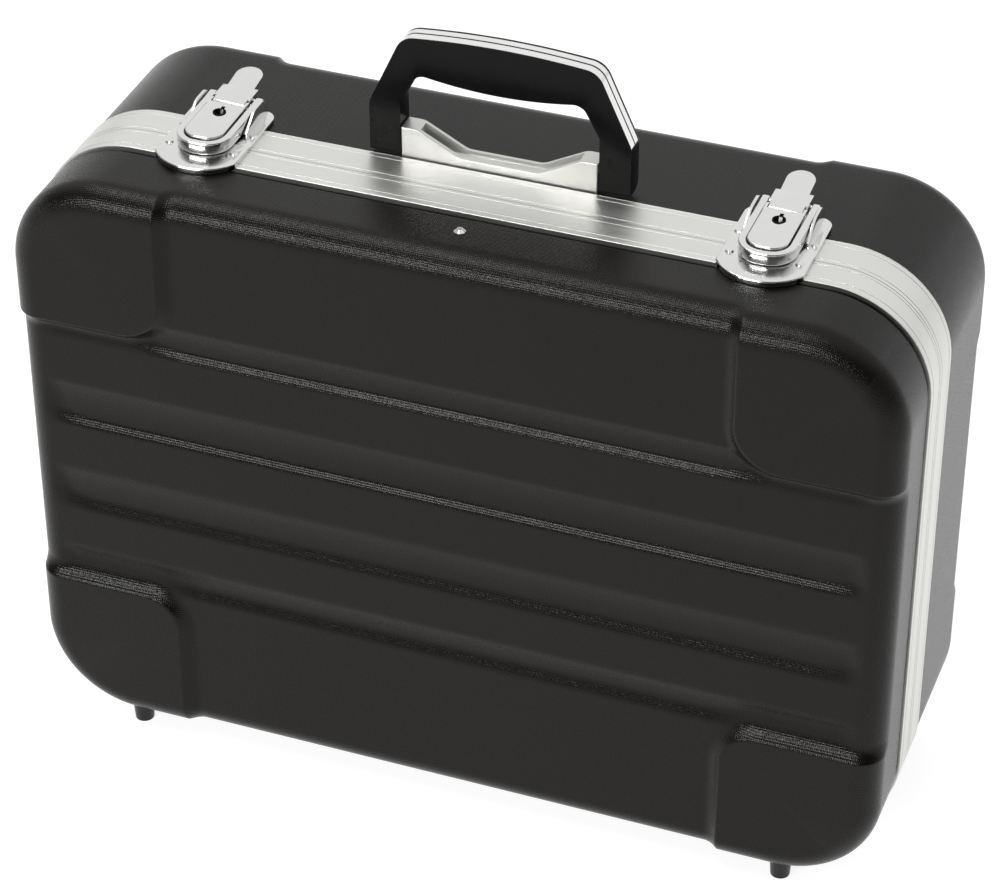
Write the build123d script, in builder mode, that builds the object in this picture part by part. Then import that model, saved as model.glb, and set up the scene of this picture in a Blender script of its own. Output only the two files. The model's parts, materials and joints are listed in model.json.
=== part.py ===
"""A hard carrying case: two moulded shells in aluminium frames, with two key latches and a folding handle.

The case stands upright on its feet. X runs along its width, Y from the lid at the front to the back, and Z
upwards. The origin is on the floor, under the middle of the case. All sizes are in millimetres.
"""

import os

from build123d import *

# The case's outline and depth
case_width = 470.0
case_height = 338.0
case_depth = 167.0
corner_radius = 54.0
frame_bottom = 10.0
frame_top = frame_bottom + case_height
frame_middle = frame_bottom + case_height / 2
frame_front = -38.0
frame_rear = 0.5
parting = -20.0
parting_gap = 0.3

# Moulded shells, with bumpers that stand forward at the four corners and channels across the face
shell_wall = 3.0
shell_inset = 0.9
edge_radius = 14.0
relief = 4.6
bumper_width = 85.0
bumper_top_height = 88.0
bumper_bottom_height = 84.0
bumper_top_radius = 24.0
bumper_bottom_radius = 20.0
bumper_slope = 6.0
bumper_reach = 130.0
channel_depth = 2.5
channel_margin = 14.0
channel_radius = 5.0
channel_upper_slope = 11.0
channel_lower_slope = 2.0
channel_end_slope = 8.0
channel_spans = ((69.0, 88.0), (14.0, 41.0), (-41.0, -14.0), (-85.0, -67.0))

# The shells' rims, which the frames take in
lid_rim_gap = 3.5
back_rim_gap = 0.3
rim_inset = 3.9
rim_clear = 0.3

# Aluminium frames
web_wall = 3.6
rib_wall = 2.0
rib_from_parting = 4.5
lip_wall = 1.6
lip_reach = 9.0
line_width = 0.8
line_depth = 0.5
line_from_parting = 2.3
line_from_edge = 4.0
frame_edge_round = 0.8
tongue_inset = 5.0
tongue_wall = 1.6
tongue_reach = 3.0

# Feet
foot_from_side = 52.0
foot_from_face = 14.5
foot_radius = 6.5
foot_tip_radius = 5.2
foot_height = 18.0

# Hinges
hinge_from_side = 95.0
hinge_length = 60.0
hinge_knuckles = 5
hinge_plate = 1.4
hinge_knuckle_radius = 3.1
hinge_pin_radius = 1.5
hinge_clear = 0.4
hinge_leaf_reach = 15.0
hinge_rivet_pitch = 20.0
hinge_rivet_from_parting = 9.5
running_gap = 0.05

# Rivets
rivet_radius = 1.6
rivet_head_radius = 2.2
rivet_rise = 0.8

# Latches, with places along the case's depth counted from the parting, and heights from the frames' top
latch_from_side = 88.0
strike_half = 22.0
strike_rise = 2.6
strike_drop = 0.6
strike_tip = parting - 30.3
strike_clear = 0.3
strike_round = 1.0
hook_half = 7.0
hook_wall = 1.8
hook_rise = 3.6
hook_clear = 0.4
strike_rivet_x = 17.5
strike_rivet_y = parting - 10.0
base_rivet_x = 19.2
base_rivet_y = parting + 10.5
base_plate_half = 22.0
base_plate_wall = 1.5
base_plate_rear = parting + 36.0
base_plate_corner = 7.0
ear_inner = 15.3
ear_wall = 1.3
ear_front = parting + 8.0
ear_top = 11.0
ear_front_height = 3.5
ear_crest_front = parting + 20.0
ear_crest_rear = parting + 34.0
housing_half = 10.3
housing_wall = 1.4
housing_tip = parting - 12.6
housing_nose_radius = 8.5
housing_top = 10.6
housing_clear = 0.7
lever_pivot_y = parting + 25.5
lever_knuckle_radius = 3.0
lever_pin_radius = 1.1
lever_half = 9.7
lever_plate = 1.4
lever_clear = 0.4
lever_waist = parting + 40.0
lever_flange_length = 8.6
lever_flange_drop = 5.4
tab_half = 7.3
tab_tip = parting + 57.0
tab_rise = 2.4
loop_half = 14.7
loop_strip = 3.9
loop_tip = parting - 17.5
loop_bottom = 3.0
loop_top = 9.6
loop_end_radius = 2.0
loop_taper_y = parting + 10.0
loop_pin_back = 8.0
loop_pin_radius = 1.2
plug_y = parting + 13.0
plug_radius = 3.4
plug_bottom = 2.0
plug_proud = 0.3
key_recess_radius = 2.7
key_recess_depth = 4.0
key_notch_width = 2.0
key_notch_reach = 5.8
cam_length = 6.5
cam_width = 4.0
cam_wall = 1.6

# Handle, its bracket and what holds it, with heights counted from the frames' top
handle_from_frame = 1.5
handle_depth = 12.0
handle_outer = 68.8
handle_inner = 52.3
handle_bottom = frame_top + 1.0
handle_shoulder = frame_top + 28.0
handle_top = frame_top + 70.0
handle_crown = 3.0
handle_top_half = 51.0
handle_bend_radius = 11.0
handle_inner_shoulder = frame_top + 31.0
grip_half = 43.0
grip_side_bottom = frame_top + 48.0
grip_middle_bottom = frame_top + 44.0
grip_bend_radius = 7.0
leg_edge_round = 5.0
handle_pivot_rise = 8.5
handle_pin_radius = 2.5
handle_pin_reach = 9.0
trim_wall = 0.8
trim_widths = (4.7, 3.8)
trim_edge = 0.6
trim_gap = 1.2
bracket_clear = 0.6
bracket_from_frame = 1.0
bracket_depth = 11.5
bracket_ear_height = 17.4
bracket_ear_half = 43.0
bracket_middle_height = 5.4
bracket_middle_half = 20.0
bracket_bend_radius = 9.0
bracket_edge_round = 0.6
bracket_wall = 2.2
bracket_floor = 3.0
bracket_pocket_half = 42.0
backing_plate_half = 58.0
backing_plate_depth = 16.0
backing_plate_wall = 2.0
backing_plate_from_rear = 4.5
screw_x = 36.0
screw_radius = 2.0
screw_head_radius = 3.6
screw_head_height = 2.0
screw_reach = 2.4

# Rivet in the lid's top wall
lid_rivet_from_frame = 14.5
lid_rivet_head = 3.0
lid_rivet_rise = 1.3

face_y = case_depth / 2
shell_top = frame_top - shell_inset
shell_rim_inner = rim_inset + shell_wall
lid_parting = parting - parting_gap / 2
base_parting = parting + parting_gap / 2
lid_rim_step = frame_front - lid_rim_gap
back_rim_step = frame_rear + back_rim_gap
lip_inset = shell_rim_inner + rim_clear
lip_inner = lip_inset + lip_wall
hinge_y = parting
hinge_x = case_width / 2 - hinge_from_side
latch_x = case_width / 2 - latch_from_side
foot_x = case_width / 2 - foot_from_side
bumper_inner = case_width / 2 - bumper_width
channel_half = case_width / 2 - channel_margin
lid_rivet_y = frame_front - lid_rivet_from_frame
hinge_z = frame_bottom - hinge_knuckle_radius - hinge_clear
hinge_leaf_bottom = frame_bottom - hinge_plate
housing_rear = lever_pivot_y - lever_knuckle_radius - lever_clear
lever_pivot_z = frame_top + housing_top - lever_knuckle_radius
loop_pin_y = lever_pivot_y + loop_pin_back
handle_front = frame_rear + handle_from_frame
handle_y = handle_front + handle_depth / 2
handle_pivot_z = handle_bottom + handle_pivot_rise
bracket_half = handle_inner - bracket_clear
bracket_front = frame_rear + bracket_from_frame
hinge_rivet_y = (parting - hinge_rivet_from_parting, parting + hinge_rivet_from_parting)
handed = (("left", -1), ("right", 1))

# How far a cutting form runs past what it cuts
over = 1.0


def keep(piece, name):
    """Labels a finished piece and writes it."""
    piece.part.label = name
    export_step(piece.part, f"parts/{name}.step")


def facing(side, y):
    """The upright plane at y, level with the middle, looking forwards for side -1, backwards for side 1."""
    return Plane(origin=(0, y, frame_middle), x_dir=(-side, 0, 0), z_dir=(0, side, 0))


def upright(y):
    """The upright plane at y that looks forwards, level with the floor."""
    return Plane(origin=(0, y, 0), x_dir=(1, 0, 0), z_dir=(0, -1, 0))


def outline(inset):
    """The case's rounded rectangle, drawn in by inset."""
    RectangleRounded(case_width - 2 * inset, case_height - 2 * inset, corner_radius - inset)


def ring(side, start, end, outer, inner, mode=Mode.ADD):
    """A ring of the case's outline from one depth to another, between two insets."""
    with BuildSketch(facing(side, start)) as section:
        outline(outer)
        RectangleRounded(
            case_width - 2 * inner, case_height - 2 * inner, corner_radius - inner, mode=Mode.SUBTRACT
        )
    extrude(section.sketch, amount=abs(end - start), mode=mode)


def drill(places, radius, low, high):
    """Round holes that stand upright at the places, from one height to another."""
    with Locations([(x, y, low) for x, y in places]):
        Cylinder(radius, high - low, align=(Align.CENTER, Align.CENTER, Align.MIN), mode=Mode.SUBTRACT)


def rod(centre, radius, length, mode=Mode.ADD):
    """A round rod along the case's width."""
    with Locations(centre):
        Cylinder(radius, length, rotation=(0, 90, 0), mode=mode)


def rivets(places, seat, tail, direction, proud=True):
    """Rivets from a seat through to a tail, with the head on the side that direction points to."""
    low, high = sorted((seat, tail))
    with Locations([(x, y, low) for x, y in places]):
        Cylinder(rivet_radius, high - low, align=(Align.CENTER, Align.CENTER, Align.MIN))
    for height, way in ((seat, direction), (tail, -direction)):
        if height == tail or proud:
            turn = (0, 0, 0) if way > 0 else (180, 0, 0)
            with Locations([Location((x, y, height), turn) for x, y in places]):
                Cone(
                    rivet_head_radius, rivet_head_radius - rivet_rise, rivet_rise,
                    align=(Align.CENTER, Align.CENTER, Align.MIN),
                )


def bumper_rooms(side, skin):
    """The rooms of one face's bumpers, drawn in by skin: straight at the edge, sloping in to the face."""
    shoulder = side * (face_y - skin - edge_radius - relief)
    end = 0 if side < 0 else -1
    top = case_height / 2 - bumper_top_height + skin + bumper_reach / 2
    bottom = bumper_bottom_height - case_height / 2 - skin - bumper_reach / 2
    across = bumper_inner + skin + bumper_reach / 2
    grown = bumper_reach + 2 * bumper_slope
    with BuildPart() as rooms:
        with BuildSketch(facing(side, shoulder)):
            for rise, radius in ((top, bumper_top_radius), (bottom, bumper_bottom_radius)):
                with Locations((-across, rise), (across, rise)):
                    RectangleRounded(grown, grown, radius + bumper_slope)
        extrude(amount=edge_radius + relief)
        for crest in rooms.faces().group_by(Axis.Y)[end]:
            chamfer(crest.edges(), bumper_slope, relief, reference=crest)
    return rooms.part


def moulded(side, start, skin):
    """One half's moulded form from a rim line to its face, drawn in by skin: walls, channels and bumpers."""
    face = side * (face_y - skin)
    base = face - side * relief
    end = 0 if side < 0 else -1
    rooms = bumper_rooms(side, skin)
    with BuildPart() as body:
        with BuildSketch(facing(side, start)):
            outline(shell_inset + skin)
        extrude(amount=abs(base - start))
        fillet(body.faces().sort_by(Axis.Y)[end].edges(), edge_radius - skin)
        for low, high in channel_spans:
            tall = high - low + skin
            floor_tall = tall - channel_upper_slope - channel_lower_slope
            floor_middle = (high + low - channel_upper_slope + channel_lower_slope) / 2
            with BuildSketch(facing(side, base)):
                with Locations((0, (low + high) / 2)):
                    RectangleRounded(2 * channel_half + skin, tall, channel_radius)
            floor_width = 2 * (channel_half - channel_end_slope) + skin
            with BuildSketch(facing(side, base - side * channel_depth)):
                with Locations((0, floor_middle)):
                    RectangleRounded(floor_width, floor_tall, channel_lower_slope)
            loft(mode=Mode.SUBTRACT)
    with BuildPart() as proud:
        with BuildSketch(facing(side, start)):
            outline(shell_inset + skin)
        extrude(amount=abs(face - start))
        fillet(proud.faces().sort_by(Axis.Y)[end].edges(), edge_radius - skin)
        add(rooms, mode=Mode.INTERSECT)
    return body.part + proud.part


os.makedirs("parts", exist_ok=True)

# Shells
latch_centres = [s * latch_x for _, s in handed]
strike_rivets_at = [(x + d * strike_rivet_x, strike_rivet_y) for x in latch_centres for d in (-1, 1)]
base_rivets_at = [(x + d * base_rivet_x, base_rivet_y) for x in latch_centres for d in (-1, 1)]
hinge_rivets_x = [s * hinge_x + n * hinge_rivet_pitch for _, s in handed for n in (-1, 0, 1)]
lid_hinge_rivets_at = [(x, hinge_rivet_y[0]) for x in hinge_rivets_x]
base_hinge_rivets_at = [(x, hinge_rivet_y[1]) for x in hinge_rivets_x]
screws_at = [(s * screw_x, handle_y) for _, s in handed]
rivet_hole = rivet_radius + running_gap

lid_outer = moulded(-1, lid_rim_step, 0)
lid_inner = moulded(-1, lid_rim_step - shell_wall, shell_wall)
back_outer = moulded(1, back_rim_step, 0)
back_inner = moulded(1, back_rim_step + shell_wall, shell_wall)

with BuildPart() as lid_shell:
    add(lid_outer)
    rim_end = lid_parting - rib_from_parting - rib_wall - rim_clear
    ring(1, lid_rim_step - shell_wall, rim_end, rim_inset, shell_rim_inner)
    add(lid_inner, mode=Mode.SUBTRACT)
    with BuildSketch(facing(1, lid_rim_step - shell_wall)):
        outline(shell_rim_inner)
    extrude(amount=rim_end - lid_rim_step + shell_wall, mode=Mode.SUBTRACT)
    drill(strike_rivets_at, rivet_hole, frame_top - lip_inner, frame_top)
    drill(lid_hinge_rivets_at, rivet_hole, frame_bottom, frame_bottom + lip_inner)
    drill([(0, lid_rivet_y)], rivet_hole, shell_top - shell_wall - over, shell_top + over)

with BuildPart() as back_shell:
    add(back_outer)
    rim_end = base_parting + rib_from_parting + rib_wall + rim_clear
    ring(-1, back_rim_step + shell_wall, rim_end, rim_inset, shell_rim_inner)
    add(back_inner, mode=Mode.SUBTRACT)
    with BuildSketch(facing(-1, back_rim_step + shell_wall)):
        outline(shell_rim_inner)
    extrude(amount=back_rim_step + shell_wall - rim_end, mode=Mode.SUBTRACT)
    drill(base_rivets_at, rivet_hole, frame_top - lip_inner, frame_top)
    drill(base_hinge_rivets_at, rivet_hole, frame_bottom, frame_bottom + lip_inner)
    drill(screws_at, screw_radius + running_gap, shell_top - shell_wall - over, shell_top + over)

keep(lid_shell, "lid_shell")
keep(back_shell, "back_shell")

# Frames
halves = (("lid_frame", -1, lid_parting, frame_front), ("base_frame", 1, base_parting, frame_rear))
for name, side, seam, edge in halves:
    rib = seam + side * rib_from_parting
    with BuildPart() as frame:
        ring(side, seam, edge, 0, web_wall)
        outer_end = frame.faces().filter_by(Plane.XZ).sort_by(Axis.Y)[0 if side < 0 else -1]
        fillet(outer_end.outer_wire().edges(), frame_edge_round)
        ring(side, rib, rib + side * rib_wall, web_wall - line_depth, lip_inner)
        ring(side, rib + side * rib_wall, rib + side * (rib_wall + lip_reach), lip_inset, lip_inner)
        if side > 0:
            ring(-1, rib + rib_wall, base_parting - tongue_reach, tongue_inset, tongue_inset + tongue_wall)
        half_line = side * line_width / 2
        for line in (seam + side * line_from_parting, edge - side * line_from_edge):
            ring(side, line - half_line, line + half_line, -over, line_depth, Mode.SUBTRACT)
        places = strike_rivets_at if side < 0 else base_rivets_at
        drill(places, rivet_hole, frame_top - lip_inner - over, frame_top + over)
        places = lid_hinge_rivets_at if side < 0 else base_hinge_rivets_at
        drill(places, rivet_hole, frame_bottom - over, frame_bottom + lip_inner + over)
    keep(frame, name)

# Feet, seated in the moulded bottom edge
for name, side, form in (("front_feet", -1, lid_outer), ("rear_feet", 1, back_outer)):
    with BuildPart() as feet:
        with Locations([(s * foot_x, side * (face_y - foot_from_face), 0) for _, s in handed]):
            Cone(foot_tip_radius, foot_radius, foot_height, align=(Align.CENTER, Align.CENTER, Align.MIN))
        add(form, mode=Mode.SUBTRACT)
    keep(feet, name)

# Hinges along the bottom edge
pitch = hinge_length / hinge_knuckles
for name, side, first in (("hinge_leaves_lid", -1, 1), ("hinge_leaves_base", 1, 0)):
    own = range(first, hinge_knuckles, 2)
    other = range(1 - first, hinge_knuckles, 2)
    with BuildPart() as leaves:
        for _, hand in handed:
            start = hand * hinge_x - hinge_length / 2
            leaf_y = hinge_y + side * (hinge_clear + hinge_leaf_reach) / 2
            with Locations((hand * hinge_x, leaf_y, hinge_leaf_bottom)):
                Box(
                    hinge_length, hinge_leaf_reach - hinge_clear, hinge_plate,
                    align=(Align.CENTER, Align.CENTER, Align.MIN),
                )
            for n in own:
                rod((start + (n + 0.5) * pitch, hinge_y, hinge_z), hinge_knuckle_radius, pitch - hinge_clear)
            for n in other:
                room = hinge_knuckle_radius + hinge_clear
                with Locations((start + (n + 0.5) * pitch, hinge_y, hinge_z)):
                    Box(pitch + hinge_clear, 2 * room, 2 * room, mode=Mode.SUBTRACT)
            bore = hinge_pin_radius + running_gap
            rod((hand * hinge_x, hinge_y, hinge_z), bore, hinge_length + 2 * over, Mode.SUBTRACT)
        places = lid_hinge_rivets_at if side < 0 else base_hinge_rivets_at
        drill(places, rivet_hole, hinge_leaf_bottom - over, frame_bottom + over)
    keep(leaves, name)
    with BuildPart() as fasteners:
        rivets(places, hinge_leaf_bottom, frame_bottom + lip_inner, -1, proud=False)
    keep(fasteners, name.replace("leaves", "rivets"))

with BuildPart() as hinge_pins:
    for _, hand in handed:
        rod((hand * hinge_x, hinge_y, hinge_z), hinge_pin_radius, hinge_length)
keep(hinge_pins, "hinge_pins")

# Rivets of the latch plates, and the single one in the lid's top wall
with BuildPart() as strike_rivets:
    rivets(strike_rivets_at, frame_top + strike_rise, frame_top - lip_inner, 1)
keep(strike_rivets, "strike_rivets")

with BuildPart() as base_rivets:
    rivets(base_rivets_at, frame_top + base_plate_wall, frame_top - lip_inner, 1)
keep(base_rivets, "base_rivets")

with BuildPart() as lid_rivet:
    rivets([(0, lid_rivet_y)], shell_top, shell_top - shell_wall, 1)
    with Locations((0, lid_rivet_y, shell_top)):
        Cone(
            lid_rivet_head, lid_rivet_head / 2, lid_rivet_rise,
            align=(Align.CENTER, Align.CENTER, Align.MIN),
        )
keep(lid_rivet, "lid_rivet")

# Latches
for (hand, _), centre in zip(handed, latch_centres):

    with BuildPart() as strike:
        with BuildSketch(Plane.XY.offset(frame_top - strike_drop)):
            with BuildLine():
                sides = Polyline(
                    (centre - strike_half, frame_front),
                    (centre - strike_half, lid_parting),
                    (centre + strike_half, lid_parting),
                    (centre + strike_half, frame_front),
                )
                ThreePointArc(sides @ 1, (centre, strike_tip), sides @ 0)
            make_face()
        extrude(amount=strike_drop + strike_rise)
        fillet(strike.faces().sort_by(Axis.Z)[-1].edges(), strike_round)
        over_frame = frame_front - strike_clear
        with Locations((centre, over_frame, frame_top)):
            Box(
                2 * strike_half, lid_parting - over_frame, strike_drop,
                align=(Align.CENTER, Align.MIN, Align.MAX), mode=Mode.SUBTRACT,
            )
        with Locations((centre, loop_tip + loop_strip + strike_clear, frame_top + strike_rise)):
            Box(2 * hook_half, hook_wall, hook_rise, align=(Align.CENTER, Align.MIN, Align.MIN))
        fillet(strike.faces().sort_by(Axis.Z)[-1].edges().filter_by(Axis.Y), hook_rise / 2)
        drill(strike_rivets_at, rivet_hole, frame_top - over, frame_top + strike_rise + over)
    keep(strike, f"strike_{hand}")

    with BuildPart() as latch_base:
        with Locations((centre, base_parting, frame_top)):
            Box(
                2 * base_plate_half, base_plate_rear - base_parting, base_plate_wall,
                align=(Align.CENTER, Align.MIN, Align.MIN),
            )
        fillet(latch_base.edges().filter_by(Axis.Z).group_by(Axis.Y)[-1], base_plate_corner)
        for ear in (-1, 1):
            with BuildSketch(Plane.YZ.offset(centre + ear * (ear_inner + ear_wall / 2))) as profile:
                with BuildLine():
                    Polyline(
                        (ear_front, frame_top + base_plate_wall),
                        (ear_front, frame_top + ear_front_height),
                        (ear_crest_front, frame_top + ear_top),
                        (ear_crest_rear, frame_top + ear_top),
                        (base_plate_rear, frame_top + base_plate_wall),
                        close=True,
                    )
                make_face()
                fillet(profile.vertices().group_by(Axis.Y)[-1], base_plate_corner)
            extrude(amount=ear_wall / 2, both=True)
        drill(base_rivets_at, rivet_hole, frame_top - over, frame_top + base_plate_wall + over)
    keep(latch_base, f"latch_base_{hand}")

    with BuildPart() as lock_housing:
        foot = frame_top + base_plate_wall
        lid_side = lid_parting + strike_clear
        for grow, bottom, top, mode in (
            (0, foot, frame_top + housing_top, Mode.ADD),
            (housing_wall, foot, frame_top + housing_top - housing_wall, Mode.SUBTRACT),
        ):
            with BuildSketch(Plane.XY.offset(bottom)) as plan:
                with Locations((centre, housing_tip + grow)):
                    Rectangle(
                        2 * (housing_half - grow), housing_rear - housing_tip - grow,
                        align=(Align.CENTER, Align.MIN),
                    )
                fillet(plan.vertices().group_by(Axis.Y)[0], housing_nose_radius - grow)
            extrude(amount=top - bottom, mode=mode)
            if mode == Mode.ADD:
                crest = lock_housing.faces().sort_by(Axis.Z)[-1]
                nose = crest.edges().filter_by(lambda e: e.center().Y < housing_rear - over)
                fillet(nose, housing_wall / 2)
        for ear in (-1, 1):
            with BuildSketch(Plane.YZ.offset(centre + ear * (housing_half - housing_wall / 2))):
                with Locations((lever_pivot_y, lever_pivot_z)):
                    Circle(lever_knuckle_radius)
                with Locations((lever_pivot_y + lever_knuckle_radius, foot)):
                    Rectangle(
                        lever_pivot_y + lever_knuckle_radius, lever_pivot_z - foot,
                        align=(Align.MAX, Align.MIN),
                    )
                with Locations((lever_pivot_y, foot)):
                    Rectangle(lever_pivot_y, frame_top + housing_top - foot, align=(Align.MAX, Align.MIN))
            extrude(amount=housing_wall / 2, both=True)
        bore = lever_pin_radius + running_gap
        rod((centre, lever_pivot_y, lever_pivot_z), bore, 2 * housing_half + over, Mode.SUBTRACT)
        with Locations((centre, lid_side, foot)):
            Box(
                2 * housing_half + over, lid_side - housing_tip + over,
                strike_rise + housing_clear - base_plate_wall,
                align=(Align.CENTER, Align.MAX, Align.MIN), mode=Mode.SUBTRACT,
            )
        with Locations((centre, housing_tip + housing_wall + hook_clear, foot)):
            Box(
                2 * (hook_half + hook_clear), 2 * housing_wall,
                strike_rise + hook_rise + hook_clear - base_plate_wall,
                align=(Align.CENTER, Align.MAX, Align.MIN), mode=Mode.SUBTRACT,
            )
        drill([(centre, plug_y)], plug_radius + running_gap, foot + over, frame_top + housing_top + over)
        with Locations((centre, plug_y, frame_top + housing_top)):
            Box(
                key_notch_width, key_notch_reach, 3 * housing_wall,
                align=(Align.CENTER, Align.MIN, Align.CENTER), mode=Mode.SUBTRACT,
            )
    keep(lock_housing, f"lock_housing_{hand}")

    with BuildPart() as lever_pin:
        rod((centre, lever_pivot_y, lever_pivot_z), lever_pin_radius, 2 * housing_half)
    keep(lever_pin, f"lever_pin_{hand}")

    with BuildPart() as lever:
        top = frame_top + housing_top
        flange_front = lever_pivot_y + lever_knuckle_radius + lever_clear
        knuckle_half = housing_half - housing_wall - lever_clear
        with BuildSketch(Plane.YZ.offset(centre)):
            with BuildLine():
                Polyline(
                    (lever_pivot_y, top),
                    (lever_waist, top),
                    (tab_tip, top + tab_rise),
                    (tab_tip, top + tab_rise - lever_plate),
                    (lever_waist, top - lever_plate),
                    (lever_pivot_y, top - lever_plate),
                    close=True,
                )
            make_face()
        extrude(amount=lever_half, both=True)
        with BuildSketch(Plane.XY.offset(frame_top)):
            with Locations((centre, lever_pivot_y)):
                Rectangle(2 * knuckle_half, lever_waist - lever_pivot_y, align=(Align.CENTER, Align.MIN))
            with Locations((centre, (flange_front + lever_waist) / 2)):
                Rectangle(2 * lever_half, lever_waist - flange_front)
            with Locations((centre, lever_waist)):
                Rectangle(
                    2 * tab_half, tab_tip - tab_half - lever_waist, align=(Align.CENTER, Align.MIN)
                )
            with Locations((centre, tab_tip - tab_half)):
                Circle(tab_half)
        extrude(amount=housing_top + 2 * tab_rise, mode=Mode.INTERSECT)
        rod((centre, lever_pivot_y, lever_pivot_z), lever_knuckle_radius, 2 * knuckle_half)
        for ear in (-1, 1):
            with Locations((centre + ear * (lever_half - lever_plate / 2), flange_front, top - lever_plate)):
                Box(
                    lever_plate, lever_flange_length, lever_flange_drop,
                    align=(Align.CENTER, Align.MIN, Align.MAX),
                )
        across = 2 * lever_half + over
        rod((centre, lever_pivot_y, lever_pivot_z), lever_pin_radius + running_gap, across, Mode.SUBTRACT)
        rod((centre, loop_pin_y, lever_pivot_z), loop_pin_radius + running_gap, across, Mode.SUBTRACT)
    keep(lever, f"lever_{hand}")

    with BuildPart() as loop_pin:
        rod((centre, loop_pin_y, lever_pivot_z), loop_pin_radius, 2 * loop_half - over)
    keep(loop_pin, f"loop_pin_{hand}")

    with BuildPart() as latch_loop:
        loop_inner = loop_half - loop_strip
        with BuildSketch(Plane.XY.offset(frame_top)) as plan:
            with Locations((centre, loop_tip)):
                Rectangle(
                    2 * loop_half, loop_pin_y + loop_end_radius - loop_tip, align=(Align.CENTER, Align.MIN)
                )
            fillet(plan.vertices().group_by(Axis.Y)[0], housing_nose_radius + loop_strip)
            with Locations((centre, loop_tip + loop_strip)):
                Rectangle(
                    2 * loop_inner, loop_pin_y + 2 * loop_end_radius - loop_tip,
                    align=(Align.CENTER, Align.MIN), mode=Mode.SUBTRACT,
                )
        extrude(amount=loop_top)
        with BuildSketch(Plane.YZ.offset(centre)):
            with BuildLine():
                Polyline(
                    (loop_tip, frame_top + loop_bottom),
                    (loop_tip, frame_top + loop_top),
                    (loop_pin_y, frame_top + loop_top),
                    (loop_pin_y, lever_pivot_z - loop_end_radius),
                    (loop_taper_y, frame_top + loop_bottom),
                    close=True,
                )
            make_face()
            with Locations((loop_pin_y, lever_pivot_z)):
                Circle(loop_end_radius)
        extrude(amount=loop_half, both=True, mode=Mode.INTERSECT)
        bore = loop_pin_radius + running_gap
        rod((centre, loop_pin_y, lever_pivot_z), bore, 2 * loop_half + over, Mode.SUBTRACT)
    keep(latch_loop, f"latch_loop_{hand}")

    with BuildPart() as lock_plug:
        plug_top = housing_top + plug_proud
        with Locations((centre, plug_y, frame_top + plug_bottom)):
            Cylinder(plug_radius, plug_top - plug_bottom, align=(Align.CENTER, Align.CENTER, Align.MIN))
            Box(cam_width, cam_length, cam_wall, align=(Align.CENTER, Align.MIN, Align.MIN))
        with Locations((centre, plug_y, frame_top + plug_top)):
            Cylinder(
                key_recess_radius, key_recess_depth,
                align=(Align.CENTER, Align.CENTER, Align.MAX), mode=Mode.SUBTRACT,
            )
            Box(
                key_notch_width, plug_radius, key_recess_depth,
                align=(Align.CENTER, Align.MIN, Align.MAX), mode=Mode.SUBTRACT,
            )
    keep(lock_plug, f"lock_plug_{hand}")

# Handle
with BuildSketch(upright(0)) as handle_outline:
    with BuildLine():
        edge = Polyline(
            (-handle_outer, handle_bottom),
            (-handle_outer, handle_shoulder),
            (-handle_top_half, handle_top - handle_crown),
        )
        ThreePointArc(edge @ 1, (0, handle_top), (handle_top_half, handle_top - handle_crown))
        Polyline(
            (handle_top_half, handle_top - handle_crown),
            (handle_outer, handle_shoulder),
            (handle_outer, handle_bottom),
            (-handle_outer, handle_bottom),
        )
    make_face()
    fillet(handle_outline.vertices().filter_by(lambda v: v.Y > handle_bottom + over), handle_bend_radius)

with BuildPart() as trim:
    start = handle_front + trim_edge
    for width in trim_widths:
        with BuildSketch(upright(start + width)):
            add(handle_outline.sketch)
            offset(handle_outline.sketch, amount=-trim_wall, mode=Mode.SUBTRACT)
            with Locations((0, handle_bottom)):
                Rectangle(
                    3 * handle_outer, 2 * (handle_shoulder - handle_bottom), mode=Mode.SUBTRACT
                )
        extrude(amount=width)
        start += width + trim_gap
keep(trim, "handle_trim")

with BuildPart() as handle_grip:
    with BuildSketch(upright(handle_front + handle_depth)) as front:
        add(handle_outline.sketch)
        with BuildLine():
            inner = Polyline(
                (-grip_half, grip_side_bottom),
                (-handle_inner, handle_inner_shoulder),
                (-handle_inner, handle_bottom - handle_depth),
                (handle_inner, handle_bottom - handle_depth),
                (handle_inner, handle_inner_shoulder),
                (grip_half, grip_side_bottom),
            )
            ThreePointArc(inner @ 1, (0, grip_middle_bottom), inner @ 0)
        make_face(mode=Mode.SUBTRACT)
    extrude(amount=handle_depth)
    upright_bends = handle_grip.edges().filter_by(Axis.Y)
    bends = upright_bends.filter_by_position(Axis.Z, grip_side_bottom - over, grip_side_bottom + over)
    fillet(bends.filter_by(lambda e: abs(e.center().X) < grip_half + over), grip_bend_radius)
    add(trim.part, mode=Mode.SUBTRACT)
    toes = handle_grip.edges().filter_by(Axis.X)
    toes = toes.filter_by_position(Axis.Z, handle_bottom - over, handle_bottom + over)
    fillet(toes.group_by(Axis.Y)[-1], leg_edge_round)
    for _, hand in handed:
        rod(
            (hand * handle_inner, handle_y, handle_pivot_z),
            handle_pin_radius + running_gap, 2 * handle_pin_reach, Mode.SUBTRACT,
        )
keep(handle_grip, "handle_grip")

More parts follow.
